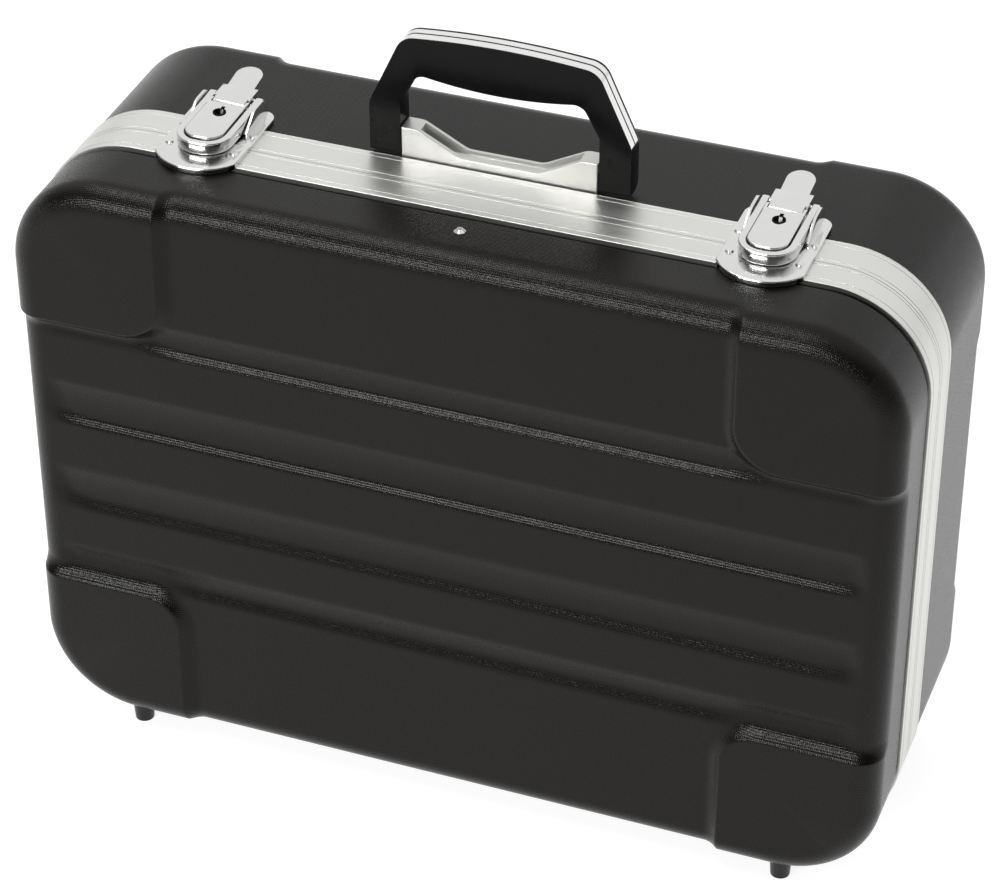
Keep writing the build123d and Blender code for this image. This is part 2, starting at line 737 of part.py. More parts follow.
# The handle's bracket, its pins and what holds it inside
with BuildPart() as bracket:
    with BuildSketch(upright(bracket_front + bracket_depth)) as profile:
        with BuildLine():
            Polyline(
                (-bracket_half, shell_top),
                (-bracket_half, shell_top + bracket_ear_height),
                (-bracket_ear_half, shell_top + bracket_ear_height),
                (-bracket_middle_half, shell_top + bracket_middle_height),
                (bracket_middle_half, shell_top + bracket_middle_height),
                (bracket_ear_half, shell_top + bracket_ear_height),
                (bracket_half, shell_top + bracket_ear_height),
                (bracket_half, shell_top),
                close=True,
            )
        make_face()
        bends = profile.vertices().filter_by(lambda v: abs(v.X) < bracket_ear_half + over)
        fillet(bends, bracket_bend_radius)
    extrude(amount=bracket_depth)
    walls = bracket.faces().filter_by(Plane.XZ)
    fillet(walls.edges().filter_by(lambda e: e.center().Z > shell_top + over), bracket_edge_round)
    for _, hand in handed:
        rod(
            (hand * handle_inner, handle_y, handle_pivot_z),
            handle_pin_radius + running_gap, 2 * handle_pin_reach, Mode.SUBTRACT,
        )
    with Locations((0, bracket_front + bracket_depth / 2, shell_top + bracket_floor)):
        Box(
            2 * bracket_pocket_half, bracket_depth - 2 * bracket_wall, bracket_ear_height,
            align=(Align.CENTER, Align.CENTER, Align.MIN), mode=Mode.SUBTRACT,
        )
    drill(screws_at, screw_radius + running_gap, shell_top - over, shell_top + screw_reach)
keep(bracket, "handle_bracket")

with BuildPart() as handle_pins:
    for _, hand in handed:
        length = 2 * handle_pin_reach - hinge_clear
        rod((hand * handle_inner, handle_y, handle_pivot_z), handle_pin_radius, length)
keep(handle_pins, "handle_pins")

plate_top = shell_top - shell_wall
with BuildPart() as backing_plate:
    with Locations((0, frame_rear + backing_plate_from_rear, plate_top)):
        Box(
            2 * backing_plate_half, backing_plate_depth, backing_plate_wall,
            align=(Align.CENTER, Align.MIN, Align.MAX),
        )
    fillet(backing_plate.edges().filter_by(Axis.Z), backing_plate_wall)
    drill(screws_at, screw_radius + running_gap, plate_top - backing_plate_wall - over, plate_top + over)
keep(backing_plate, "handle_backing_plate")

with BuildPart() as handle_screws:
    seat = plate_top - backing_plate_wall
    with Locations([(x, y, seat) for x, y in screws_at]):
        Cylinder(
            screw_radius, shell_top + screw_reach - seat, align=(Align.CENTER, Align.CENTER, Align.MIN)
        )
        Cylinder(screw_head_radius, screw_head_height, align=(Align.CENTER, Align.CENTER, Align.MAX))
keep(handle_screws, "handle_screws")
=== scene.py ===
"""Looks of a hard carrying case: moulded shells, aluminium frames, key latches and a folding handle.

All sizes are in millimetres in the CAD's frame, and become metres where a mesh is made. X runs along the
case's width, Y from the lid at the front to the back, Z upwards. The origin is on the floor, under the
case's middle.
"""

import json
import math

import bmesh
import bpy
import numpy as np
from mathutils import Matrix, Vector

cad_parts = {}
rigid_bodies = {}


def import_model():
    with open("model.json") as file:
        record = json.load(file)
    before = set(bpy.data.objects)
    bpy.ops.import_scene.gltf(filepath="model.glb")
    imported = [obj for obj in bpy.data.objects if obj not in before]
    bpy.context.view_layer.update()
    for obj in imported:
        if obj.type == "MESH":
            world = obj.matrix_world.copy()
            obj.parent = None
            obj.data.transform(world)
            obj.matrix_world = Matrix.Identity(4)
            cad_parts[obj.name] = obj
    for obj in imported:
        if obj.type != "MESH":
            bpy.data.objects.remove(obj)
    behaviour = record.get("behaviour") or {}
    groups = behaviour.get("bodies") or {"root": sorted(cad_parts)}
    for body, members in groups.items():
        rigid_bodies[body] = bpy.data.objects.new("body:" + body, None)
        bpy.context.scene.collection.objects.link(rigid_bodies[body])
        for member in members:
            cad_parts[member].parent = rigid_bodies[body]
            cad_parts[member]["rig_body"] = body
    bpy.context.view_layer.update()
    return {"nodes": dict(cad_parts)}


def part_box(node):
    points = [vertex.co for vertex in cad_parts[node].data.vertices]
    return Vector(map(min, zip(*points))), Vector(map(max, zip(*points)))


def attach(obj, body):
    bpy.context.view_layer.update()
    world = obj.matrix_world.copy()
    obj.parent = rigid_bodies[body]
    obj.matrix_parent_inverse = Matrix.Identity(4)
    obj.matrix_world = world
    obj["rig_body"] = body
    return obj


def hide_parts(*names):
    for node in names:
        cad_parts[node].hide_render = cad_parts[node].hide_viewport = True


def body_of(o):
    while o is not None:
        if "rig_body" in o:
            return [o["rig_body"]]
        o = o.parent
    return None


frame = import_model()

MM = 0.001


def node_box(name):
    """A CAD node's lowest and highest corners in millimetres."""
    low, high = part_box(name)
    return np.array(low) / MM, np.array(high) / MM


# Sizes of the case, read from the frame
lid_frame_low, lid_frame_high = node_box("lid_frame")
case_width = lid_frame_high[0] - lid_frame_low[0]
case_height = lid_frame_high[2] - lid_frame_low[2]
frame_top = lid_frame_high[2]
frame_bottom = lid_frame_low[2]
middle_z = (frame_top + frame_bottom) / 2
frame_front = lid_frame_low[1]
frame_rear = node_box("base_frame")[1][1]
face_rear = node_box("back_shell")[1][1]

# Sizes that the frame doesn't tell, as in the CAD
parting = -20.0
parting_gap = 0.3
corner_radius = 54.0
lid_parting = parting - parting_gap / 2
base_parting = parting + parting_gap / 2

# The shells' walls and rims, as in the CAD
shell_inset = 0.9
shell_wall = 3.0
edge_radius = 14.0
rim_inset = 3.9
rim_lip = 0.5
lid_rim_gap = 3.5
back_rim_gap = 0.3
rib_from_parting = 4.5
rib_wall = 2.0
rim_clear = 0.3
rim_depth = rib_from_parting + rib_wall + rim_clear

# The inside's flat pan lies this much deeper than one wall behind the face, and ends in a flat border
pan_extra = 0.6
pan_border = 6.0

# The moulded form: how far its bumpers stand out, how far above the frames' middle its own middle lies,
# and the bumpers' edges, measured from there
relief = 4.6
form_rise = 4.0
bumper_inner = case_width / 2 - 85.0
bumper_top_edge = case_height / 2 - 88.0
bumper_bottom_edge = 84.0 - case_height / 2
bumper_top_radius = 24.0
bumper_bottom_radius = 20.0
bumper_slope = 8.5
crest_round = 0.8

# The channels: each has its lower edge, its upper edge, how high its lower wall is, and how far from the
# middle that wall starts to flatten
channel_depth = 2.8
channel_half = case_width / 2 - 12.0
channel_end_slope = 12.0
channel_upper_share = 0.74
channel_spans = (
    (69.0, 89.0, 6.8, 138.0),
    (14.0, 42.0, 7.0, 196.0),
    (-41.0, -13.0, 9.4, 196.0),
    (-85.0, -65.0, 9.6, 138.0),
)
wall_end = 40.0

# The shells' grid from the middle outwards: where each stretch ends, and how far apart its lines are. The
# lines are close where bumpers and channels slope.
ACROSS_STRETCHES = ((138.0, 6.0), (176.0, 1.0), (196.0, 2.0))
UPRIGHT_STRETCHES = ((14.0, 2.0), (38.0, 0.75), (48.0, 1.2), (68.0, 2.0), (90.0, 0.7), (106.0, 1.2))
ACROSS_FACE_GAP = 1.5
UPRIGHT_FACE_GAP = 2.5
ROUNDING_GAP = 1.2
WALL_GAP = 3.0
INNER_ROUND_STEPS = 6
# How many of the rim's rings lie in the gap beside the frame; they are painted matt black as the gap's shade
GAP_RINGS = 3

# The latches' draw loops, as in the CAD
loop_half = 14.7
loop_strip = 3.9
loop_tip = parting - 17.5
loop_inner_radius = 9.6
loop_bottom = frame_top + 3.0
loop_top = frame_top + 9.6
loop_taper = parting + 10.0
loop_end_radius = 2.0
loop_bevel = 0.9
LOOP_END_POINTS = 6
LOOP_POINTS = 14
BAND_CORNER_STEPS = 3
# A band's rounded edges take at most this share of half its height
BAND_ROUND_SHARE = 0.9
# Points nearer to a loop's middle than this aren't mirrored, and half its end's height is at least this
LOOP_MIDDLE = 0.01
LOOP_THINNEST = 0.1

# The dark disc in a lock plug, painted shade on its key slot's floor, as shares of the plug's width and
# height
KEY_FLOOR_RADIUS = 0.45
KEY_FLOOR_LOW = 0.1
KEY_FLOOR_HIGH = 0.45
KEY_FLOOR_SIDES = 32

# The lines along the frames: how deep the CAD has them, and how deep they show
line_depth = 0.5
fine_line_depth = 0.12

# How wide the rounded edges of the dressed solids are
LATCH_EDGES = {"strike": 0.45, "latch_base": 0.3, "lock_housing": 0.25, "lever": 0.35}
PLUG_EDGE = 0.12
GRIP_EDGE = 0.6
GRIP_EDGE_STEPS = 4
GRIP_CHAMFER = 2.6
BRACKET_EDGE = 0.35

# Corners closer than this, in metres, are one corner, and faces flatter to each other than this are one
MERGE = 0.00001
FLAT = math.radians(1)
# Edges sharper than this are rounded on a dressed solid
ROUNDED = math.radians(28)
# Edges sharper than these stay crisp: on small new pieces, dressed solids, frames, and shells and loops
CRISP_SMALL = math.radians(32)
CRISP_DRESSED = math.radians(40)
CRISP_FRAME = math.radians(30)
CRISP_SHELL = math.radians(50)
# A chamfered edge lies between a face that looks forwards and one that looks up at least this much
FORWARDS = -0.9
UPWARDS = 0.2


# Meshes
def add_piece(name, points, faces, body, material, sharp=CRISP_SMALL, replaces=()):
    """A closed mesh from points in millimetres, shaded smooth but for its sharp edges, riding on a body."""
    mesh = bpy.data.meshes.new(name)
    mesh.from_pydata((np.asarray(points, float) * MM).tolist(), [], [list(map(int, f)) for f in faces])
    mesh.update()
    piece = bpy.data.objects.new(name, mesh)
    bpy.context.scene.collection.objects.link(piece)
    shade(mesh, sharp)
    mesh.materials.append(material)
    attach(piece, body)
    if replaces:
        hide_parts(*replaces)
    return piece


def shade(mesh, sharp):
    """Smooth shading, with edges sharper than the angle kept crisp, and faces turned outwards."""
    form = bmesh.new()
    form.from_mesh(mesh)
    bmesh.ops.recalc_face_normals(form, faces=form.faces)
    for face in form.faces:
        face.smooth = True
    for edge in form.edges:
        edge.smooth = len(edge.link_faces) == 2 and edge.calc_face_angle(0) < sharp
    form.to_mesh(mesh)
    form.free()


def stand_in(source, mesh, material, sharp):
    """A new object with that mesh, which rides where the CAD node does and stands for it."""
    piece = bpy.data.objects.new(mesh.name, mesh)
    bpy.context.scene.collection.objects.link(piece)
    shade(mesh, sharp)
    mesh.materials.append(material)
    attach(piece, body_of(source)[0])
    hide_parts(source.name)


def dressed(name, width, material, segments=3, chamfer=0.0):
    """A copy of a CAD node with flat faces joined and sharp edges rounded, which stands for the node. A
    chamfer first cuts the edges between its front and its upper sides."""
    source = frame["nodes"][name]
    form = bmesh.new()
    form.from_mesh(source.data)
    form.transform(source.matrix_world)
    bmesh.ops.remove_doubles(form, verts=form.verts, dist=MERGE)
    bmesh.ops.dissolve_limit(form, angle_limit=FLAT, verts=form.verts, edges=form.edges)
    if chamfer:
        bmesh.ops.recalc_face_normals(form, faces=form.faces)
        upper = [
            e for e in form.edges
            if len(e.link_faces) == 2 and min(f.normal.y for f in e.link_faces) < FORWARDS
            and max(f.normal.z for f in e.link_faces) > UPWARDS
        ]
        bmesh.ops.bevel(
            form, geom=upper, offset=chamfer * MM, offset_type="OFFSET", segments=1, affect="EDGES",
            clamp_overlap=True,
        )
    edges = [e for e in form.edges if len(e.link_faces) == 2 and e.calc_face_angle(0) > ROUNDED]
    bmesh.ops.bevel(
        form, geom=edges, offset=width * MM, offset_type="OFFSET", segments=segments, profile=0.5,
        affect="EDGES", clamp_overlap=True,
    )
    mesh = bpy.data.meshes.new(name + "_finished")
    form.to_mesh(mesh)
    form.free()
    stand_in(source, mesh, material, CRISP_DRESSED)


# Materials
# The noise's middle range, its roughness, how fine it gets, and how deep it makes a surface, in metres
NOISE_LOW = 0.3
NOISE_HIGH = 0.7
NOISE_ROUGHNESS = 0.6
METAL_DETAIL = 5.0
PLASTIC_DETAIL = 4.0
UNEVEN_DEPTH = 0.0002
# How much darker and lighter a colour gets, and how far a plastic's gloss moves
METAL_DARK = 0.93
PLASTIC_DARK = 0.8
PLASTIC_LIGHT = 1.2
PLASTIC_GLOSS_SPREAD = 0.15
# The weave pressed into the shells, in millimetres, turned so that its squares stand on their corners
GRAIN_PITCH = 1.5
GRAIN_HEIGHT = 0.036
GRAIN_TURN = math.radians(45)
# The unevenness that lies over the weave, its height next to the weave's
SPECK_SCALE = 900.0
SPECK_DETAIL = 2.0
SPECK_ROUGHNESS = 0.7
SPECK_HEIGHT = 0.7
# How much rougher the weave's valleys are and how much glossier its crowns, and how much darker its valleys
# are painted as shade and its crowns lighter as highlight
VALLEY_ROUGHER = 0.08
CROWN_GLOSSIER = 0.06
VALLEY_PAINTED_SHADE = 0.75
CROWN_PAINTED_HIGHLIGHT = 1.2
TINT_REACH = 1.2


def new_material(name):
    """A node material, its tree and its shader, which is already joined to the output."""
    material = bpy.data.materials.new(name)
    material.use_nodes = True
    tree = material.node_tree
    return material, tree, tree.nodes["Principled BSDF"]


def node(tree, kind, **values):
    """A node of that kind, with its settings and the inputs of that name set."""
    made = tree.nodes.new(kind)
    for key, value in values.items():
        if key in made.inputs:
            made.inputs[key].default_value = value
        else:
            setattr(made, key, value)
    return made


def mapped(tree, value, low, high, to_low, to_high):
    """The value, taken from one range to another."""
    spread = node(tree, "ShaderNodeMapRange")
    tree.links.new(value, spread.inputs["Value"])
    for key, number in (("From Min", low), ("From Max", high), ("To Min", to_low), ("To Max", to_high)):
        spread.inputs[key].default_value = number
    return spread.outputs["Result"]


def tinted(tree, shader, share, colour, dark, light):
    """The shader's colour, moved between a darker and a lighter shade by the share."""
    tint = node(tree, "ShaderNodeMix", data_type="RGBA")
    tint.inputs["A"].default_value = [c * dark for c in colour] + [1]
    tint.inputs["B"].default_value = [c * light for c in colour] + [1]
    tree.links.new(share, tint.inputs["Factor"])
    tree.links.new(tint.outputs["Result"], shader.inputs["Base Color"])


def embossed(tree, shader, height, strength, distance):
    """The shader's surface, raised by the height."""
    raised = node(tree, "ShaderNodeBump", Strength=strength, Distance=distance)
    tree.links.new(height, raised.inputs["Height"])
    tree.links.new(raised.outputs["Normal"], shader.inputs["Normal"])


def worn_metal(name, colour, roughness, spread, scale, bump, stretch=(1, 1, 1)):
    """A metal that varies a little: noise, drawn out by stretch, moves its gloss, colour and surface."""
    material, tree, shader = new_material(name)
    shader.inputs["Metallic"].default_value = 1.0
    place = node(tree, "ShaderNodeTexCoord")
    turned = node(tree, "ShaderNodeMapping")
    turned.inputs["Scale"].default_value = stretch
    tree.links.new(place.outputs["Object"], turned.inputs["Vector"])
    noise = node(tree, "ShaderNodeTexNoise", Scale=scale, Detail=METAL_DETAIL, Roughness=NOISE_ROUGHNESS)
    tree.links.new(turned.outputs["Vector"], noise.inputs["Vector"])
    gloss = mapped(tree, noise.outputs["Fac"], NOISE_LOW, NOISE_HIGH, roughness - spread, roughness + spread)
    tree.links.new(gloss, shader.inputs["Roughness"])
    tinted(tree, shader, noise.outputs["Fac"], colour, METAL_DARK, 1.0)
    embossed(tree, shader, noise.outputs["Fac"], bump, UNEVEN_DEPTH)
    return material


def plain_plastic(name, colour, roughness, scale, bump, specular):
    """A smooth plastic with faint unevenness in gloss and surface."""
    material, tree, shader = new_material(name)
    shader.inputs["Specular IOR Level"].default_value = specular
    place = node(tree, "ShaderNodeTexCoord")
    noise = node(tree, "ShaderNodeTexNoise", Scale=scale, Detail=PLASTIC_DETAIL, Roughness=NOISE_ROUGHNESS)
    tree.links.new(place.outputs["Object"], noise.inputs["Vector"])
    glossy = roughness * (1 - PLASTIC_GLOSS_SPREAD)
    matt = roughness * (1 + PLASTIC_GLOSS_SPREAD)
    gloss = mapped(tree, noise.outputs["Fac"], NOISE_LOW, NOISE_HIGH, glossy, matt)
    tree.links.new(gloss, shader.inputs["Roughness"])
    tinted(tree, shader, noise.outputs["Fac"], colour, PLASTIC_DARK, PLASTIC_LIGHT)
    embossed(tree, shader, noise.outputs["Fac"], bump, UNEVEN_DEPTH)
    return material


def grained_plastic(name, colour, roughness, specular):
    """The shells' black plastic: a fine diamond weave pressed into it, with a satin gloss on its crowns, its
    valleys painted darker as shade and its crowns painted lighter as highlight.
    """
    material, tree, shader = new_material(name)
    shader.inputs["Specular IOR Level"].default_value = specular
    place = node(tree, "ShaderNodeAttribute", attribute_name="unrolled")
    turned = node(tree, "ShaderNodeMapping")
    turned.inputs["Rotation"].default_value = (0, 0, GRAIN_TURN)
    turned.inputs["Scale"].default_value = [2 * math.pi / (GRAIN_PITCH * MM)] * 3
    tree.links.new(place.outputs["Vector"], turned.inputs["Vector"])
    apart = node(tree, "ShaderNodeSeparateXYZ")
    tree.links.new(turned.outputs["Vector"], apart.inputs["Vector"])
    weave = node(tree, "ShaderNodeMath", operation="MULTIPLY")
    for index, axis in enumerate(("X", "Y")):
        wave = node(tree, "ShaderNodeMath", operation="SINE")
        tree.links.new(apart.outputs[axis], wave.inputs[0])
        tree.links.new(wave.outputs[0], weave.inputs[index])
    speck = node(
        tree, "ShaderNodeTexNoise", Scale=SPECK_SCALE, Detail=SPECK_DETAIL, Roughness=SPECK_ROUGHNESS
    )
    tree.links.new(place.outputs["Vector"], speck.inputs["Vector"])
    rough = mapped(tree, speck.outputs["Fac"], NOISE_LOW, NOISE_HIGH, -SPECK_HEIGHT, SPECK_HEIGHT)
    height = node(tree, "ShaderNodeMath", operation="ADD")
    tree.links.new(weave.outputs[0], height.inputs[0])
    tree.links.new(rough, height.inputs[1])
    embossed(tree, shader, height.outputs[0], 1.0, GRAIN_HEIGHT * MM)
    gloss = mapped(tree, height.outputs[0], -1, 1, roughness + VALLEY_ROUGHER, roughness - CROWN_GLOSSIER)
    tree.links.new(gloss, shader.inputs["Roughness"])
    # Painted shade in the weave's valleys and painted highlight on its crowns: the colour follows the
    # weave's height
    share = mapped(tree, height.outputs[0], -TINT_REACH, TINT_REACH, 0, 1)
    tinted(tree, shader, share, colour, VALLEY_PAINTED_SHADE, CROWN_PAINTED_HIGHLIGHT)
    return material


shell_plastic = grained_plastic("shell_plastic", (0.0030, 0.0021, 0.0012), roughness=0.24, specular=0.19)
aluminium = worn_metal(
    "anodised_aluminium", (0.68, 0.68, 0.655), roughness=0.40, spread=0.05, scale=60.0, bump=0.10,
    stretch=(0.3, 3, 0.3),
)
chrome = worn_metal("latch_chrome", (0.70, 0.70, 0.69), roughness=0.15, spread=0.05, scale=40.0, bump=0.05)
steel = worn_metal("zinc_plated_steel", (0.62, 0.62, 0.60), roughness=0.3, spread=0.08, scale=90.0, bump=0.1)
bracket_silver = worn_metal(
    "bracket_silver", (0.60, 0.60, 0.58), roughness=0.42, spread=0.05, scale=70.0, bump=0.08
)
trim_silver = worn_metal(
    "handle_trim_silver", (0.80, 0.80, 0.79), roughness=0.2, spread=0.04, scale=50.0, bump=0.04
)
handle_plastic = plain_plastic(
    "handle_plastic", (0.0022, 0.0021, 0.0022), roughness=0.25, scale=180.0, bump=0.05, specular=0.12
)
foot_plastic = plain_plastic(
    "foot_plastic", (0.006, 0.006, 0.006), roughness=0.3, scale=200.0, bump=0.1, specular=0.3
)
# Dark plastic for the lock plugs, also used as the painted shade on the floor of their key slots
key_black = plain_plastic(
    "keyhole_black", (0.003, 0.003, 0.003), roughness=0.6, scale=200.0, bump=0.05, specular=0.05
)
# Matt black painted on the rim's rings in the gap beside the frame, as the gap's shade
gap_painted_shade = plain_plastic(
    "gap_painted_shade", (0.0015, 0.0015, 0.0015), roughness=0.8, scale=200.0, bump=0.05, specular=0.0
)

node_materials = {
    "lid_frame": aluminium, "base_frame": aluminium, "handle_bracket": bracket_silver,
    "handle_grip": handle_plastic, "handle_trim": trim_silver, "front_feet": foot_plastic,
    "rear_feet": foot_plastic, "lid_rivet": chrome, "base_rivets": chrome, "strike_rivets": chrome,
}
chrome_kinds = ("strike", "latch_base", "lock_housing", "lever", "latch_loop", "lock_plug")
for name, holder in frame["nodes"].items():
    kind = name.rsplit("_", 1)[0]
    finish = node_materials.get(name, chrome if kind in chrome_kinds else steel)
    if not holder.material_slots:
        holder.data.materials.append(finish)
    for place in holder.material_slots:
        place.material = finish


# Shells
def eased(t):
    """A smooth rise from 0 to 1."""
    t = np.clip(t, 0, 1)
    return t * t * (3 - 2 * t)


def corner_distance(x, z, radius):
    """How far inside a quarter plane with a rounded corner a point is."""
    u = radius - x
    v = radius - z
    rounded = radius - np.hypot(u, v)
    return np.where((u > 0) & (v > 0), rounded, np.minimum(x, z))


def relief_at(x, z):
    """How far the moulded form stands forward of its base surface there: bumpers forward, channels back."""
    side = np.abs(x)
    z = z - form_rise
    top = corner_distance(side - bumper_inner, z - bumper_top_edge, bumper_top_radius)
    bottom = corner_distance(side - bumper_inner, bumper_bottom_edge - z, bumper_bottom_radius)
    inside = np.maximum(top, bottom)
    fall = np.clip(1 + (inside - crest_round) / bumper_slope, 0, 1)
    proud = np.where(inside > crest_round, 1, fall * fall)
    sunk = np.zeros_like(x)
    for low, high, steep_wall, flat_from in channel_spans:
        wall = steep_wall * (1 + eased((side - flat_from) / wall_end))
        down = np.clip((high - z) / (channel_upper_share * (high - low)), 0, 1)
        floor = (1 - (1 - down) ** 2) * eased((z - low) / wall)
        sunk = np.maximum(sunk, floor * eased((channel_half - side) / channel_end_slope))
    return relief * proud - channel_depth * sunk * (1 - proud)


def spaced(stretches):
    """Grid lines both ways from 0: each stretch gives where it ends and how far apart its lines are."""
    lines = [0.0]
    for end, gap in stretches:
        count = max(1, round((end - lines[-1]) / gap))
        lines.extend(np.linspace(lines[-1], end, count + 1)[1:])
    lines = np.array(lines)
    return np.concatenate((-lines[:0:-1], lines))


def rim_rings(side, rim_y, rim_end, base_y):
    """The section from the outer wall's end round the rim to the inside's pan: how far in, and at what Y."""
    inner = shell_wall + shell_inset
    inner_round = edge_radius - shell_wall
    flange_y = rim_y + side * shell_wall
    pan_y = base_y - side * (shell_wall + pan_extra)
    rings = [
        (shell_inset + rim_lip, rim_y), (rim_inset, rim_y), (rim_inset, rim_end),
        (rim_inset + shell_wall, rim_end), (rim_inset + shell_wall, flange_y), (inner, flange_y),
    ]
    for step in range(INNER_ROUND_STEPS + 1):
        angle = step / INNER_ROUND_STEPS * math.pi / 2
        inward = inner + inner_round * (1 - math.cos(angle))
        rings.append((inward, pan_y - side * inner_round * (1 - math.sin(angle))))
    rings.append((inner + inner_round + pan_border, pan_y))
    return rings


def shell_mesh(side, rim_y, rim_end, name, body, replaced):
    """One moulded shell: a fine grid wrapped over face, rounded edge and walls, raised by its relief, and
    rim and inside joined to it. Its points also know where they lie on the unrolled sheet, for the grain."""
    radius = corner_radius - shell_inset
    base_y = side * (face_rear - relief)
    core_x = case_width / 2 - shell_inset - radius
    core_z = case_height / 2 - shell_inset - radius
    round_start = radius - edge_radius
    wall_start = round_start + edge_radius * math.pi / 2
    wall = abs(base_y - rim_y) - edge_radius
    grids = []
    for core, stretches, face_gap in (
        (core_x, ACROSS_STRETCHES, ACROSS_FACE_GAP), (core_z, UPRIGHT_STRETCHES, UPRIGHT_FACE_GAP),
    ):
        outer = (
            (core + round_start, face_gap),
            (core + wall_start, ROUNDING_GAP),
            (core + wall_start + wall, WALL_GAP),
        )
        grids.append(spaced(stretches + outer))
    qx, qz = np.meshgrid(*grids)

    # Wrap the flat grid over the rounded edge and back along the walls
    cx = np.clip(qx, -core_x, core_x)
    cz = np.clip(qz, -core_z, core_z)
    wx = qx - cx
    wz = qz - cz
    reach = np.maximum(np.abs(wx), np.abs(wz))
    length = np.hypot(wx, wz)
    safe = np.where(length > 0, length, 1)
    nx = wx / safe
    nz = wz / safe
    turn = np.clip((reach - round_start) / edge_radius, 0, math.pi / 2)
    straight = np.maximum(reach - wall_start, 0)
    out = np.minimum(reach, round_start) + edge_radius * np.sin(turn)
    depth = edge_radius * (1 - np.cos(turn)) + straight
    x = cx + nx * out
    z = cz + nz * out
    held = np.clip(straight / wall, 0, 1)
    y = base_y - side * depth + side * relief_at(x, z) * (1 - held)
    points = [np.stack((x, y, z + middle_z), axis=-1).reshape(-1, 3)]
    flat = [np.stack((qx, qz, np.zeros_like(qx)), axis=-1).reshape(-1, 3)]
    rows, columns = qx.shape
    index = np.arange(rows * columns).reshape(rows, columns)
    corners = (index[:-1, :-1], index[:-1, 1:], index[1:, 1:], index[1:, :-1])
    quads = np.stack(corners, axis=-1).reshape(-1, 4)
    faces = quads.tolist()

    # Join the rim and the inside, ring by ring
    loop = np.concatenate((index[0, :-1], index[:-1, -1], index[-1, :0:-1], index[:0:-1, 0]))
    at = points[0][loop]
    way = np.stack((nx.reshape(-1)[loop], nz.reshape(-1)[loop]), axis=-1)
    last = loop
    count = rows * columns
    rings = rim_rings(side, rim_y, rim_end, base_y)
    steps = zip([(shell_inset, rim_y)] + rings, rings)
    runs = np.cumsum([math.hypot(b[0] - a[0], b[1] - a[1]) for a, b in steps])
    for (inset, level), run in zip(rings, runs):
        ring = at.copy()
        ring[:, 0] -= way[:, 0] * (inset - shell_inset)
        ring[:, 2] -= way[:, 1] * (inset - shell_inset)
        ring[:, 1] = level
        grown = np.zeros_like(at)
        grown[:, :2] = at[:, ::2] + way * (shell_inset - rings[-1][0] + runs[-1] - run)
        points.append(ring)
        flat.append(grown)
        new = np.arange(count, count + len(loop))
        count += len(loop)
        faces.extend(np.stack((last, np.roll(last, -1), np.roll(new, -1), new), axis=-1).tolist())
        last = new
    faces.append(last.tolist())
    all_points = np.concatenate(points)
    piece = add_piece(name, all_points, faces, body, shell_plastic, CRISP_SHELL, replaced)
    # The rings in the gap beside the frame get the matt black painted shade
    piece.data.materials.append(gap_painted_shade)
    for face in piece.data.polygons[len(quads):len(quads) + GAP_RINGS * len(loop)]:
        face.material_index = 1
    layer = piece.data.attributes.new("unrolled", "FLOAT_VECTOR", "POINT")
    layer.data.foreach_set("vector", (np.concatenate(flat) * MM).astype(np.float32).reshape(-1))


shell_mesh(
    -1, frame_front - lid_rim_gap, lid_parting - rim_depth, "lid_shell_moulded", "lid", ("lid_shell",)
)
shell_mesh(
    1, frame_rear + back_rim_gap, base_parting + rim_depth, "back_shell_moulded", "base", ("back_shell",)
)


# Frames
def inset_of(point):
    """How far a point in plan lies inside the case's rounded outline, and the outward direction there."""
    x, z = point[0], point[2] - middle_z
    core_x = case_width / 2 - corner_radius
    core_z = case_height / 2 - corner_radius
    away = Vector((x - min(max(x, -core_x), core_x), 0, z - min(max(z, -core_z), core_z)))
    return corner_radius - away.length, away.normalized()


def fine_band(name):
    """A copy of a frame whose pressed lines are as shallow as the photograph's."""
    source = frame["nodes"][name]
    form = bmesh.new()
    form.from_mesh(source.data)
    form.transform(source.matrix_world)
    bmesh.ops.remove_doubles(form, verts=form.verts, dist=MERGE)
    for corner in form.verts:
        inset, outward = inset_of(corner.co / MM)
        if abs(inset - line_depth) < line_depth / 2:
            corner.co += outward * (inset - fine_line_depth) * MM
    mesh = bpy.data.meshes.new(name + "_finished")
    form.to_mesh(mesh)
    form.free()
    stand_in(source, mesh, aluminium, CRISP_FRAME)


fine_band("lid_frame")
fine_band("base_frame")


# Latches
def band_along(path, half_width, low, high, bevel):
    """Points and faces of a flat band on edge along a path in plan, with its four long edges rounded."""
    path = np.asarray(path, float)
    along = np.gradient(path, axis=0)
    along /= np.linalg.norm(along, axis=1)[:, None]
    across = np.stack((-along[:, 1], along[:, 0]), axis=1)
    profile = []
    for u, v in ((1, 1), (-1, 1), (-1, -1), (1, -1)):
        start = math.atan2(v, u) - math.pi / 4
        for step in range(BAND_CORNER_STEPS + 1):
            angle = start + step / BAND_CORNER_STEPS * math.pi / 2
            profile.append((u, v, math.cos(angle), math.sin(angle)))
    points = []
    for (x, y), side, bottom, top in zip(path, across, low, high):
        middle = (top + bottom) / 2
        half = (top - bottom) / 2
        round_off = min(bevel, half * BAND_ROUND_SHARE)
        for u, v, a, b in profile:
            reach = u * (half_width - round_off) + a * round_off
            rise = v * (half - round_off) + b * round_off
            points.append((x + side[0] * reach, y + side[1] * reach, middle + rise))
    ring = len(profile)
    faces = [
        (i * ring + j, i * ring + (j + 1) % ring, (i + 1) * ring + (j + 1) % ring, (i + 1) * ring + j)
        for i in range(len(path) - 1) for j in range(ring)
    ]
    faces.append(tuple(range(ring))[::-1])
    faces.append(tuple(range((len(path) - 1) * ring, len(path) * ring)))
    return points, faces


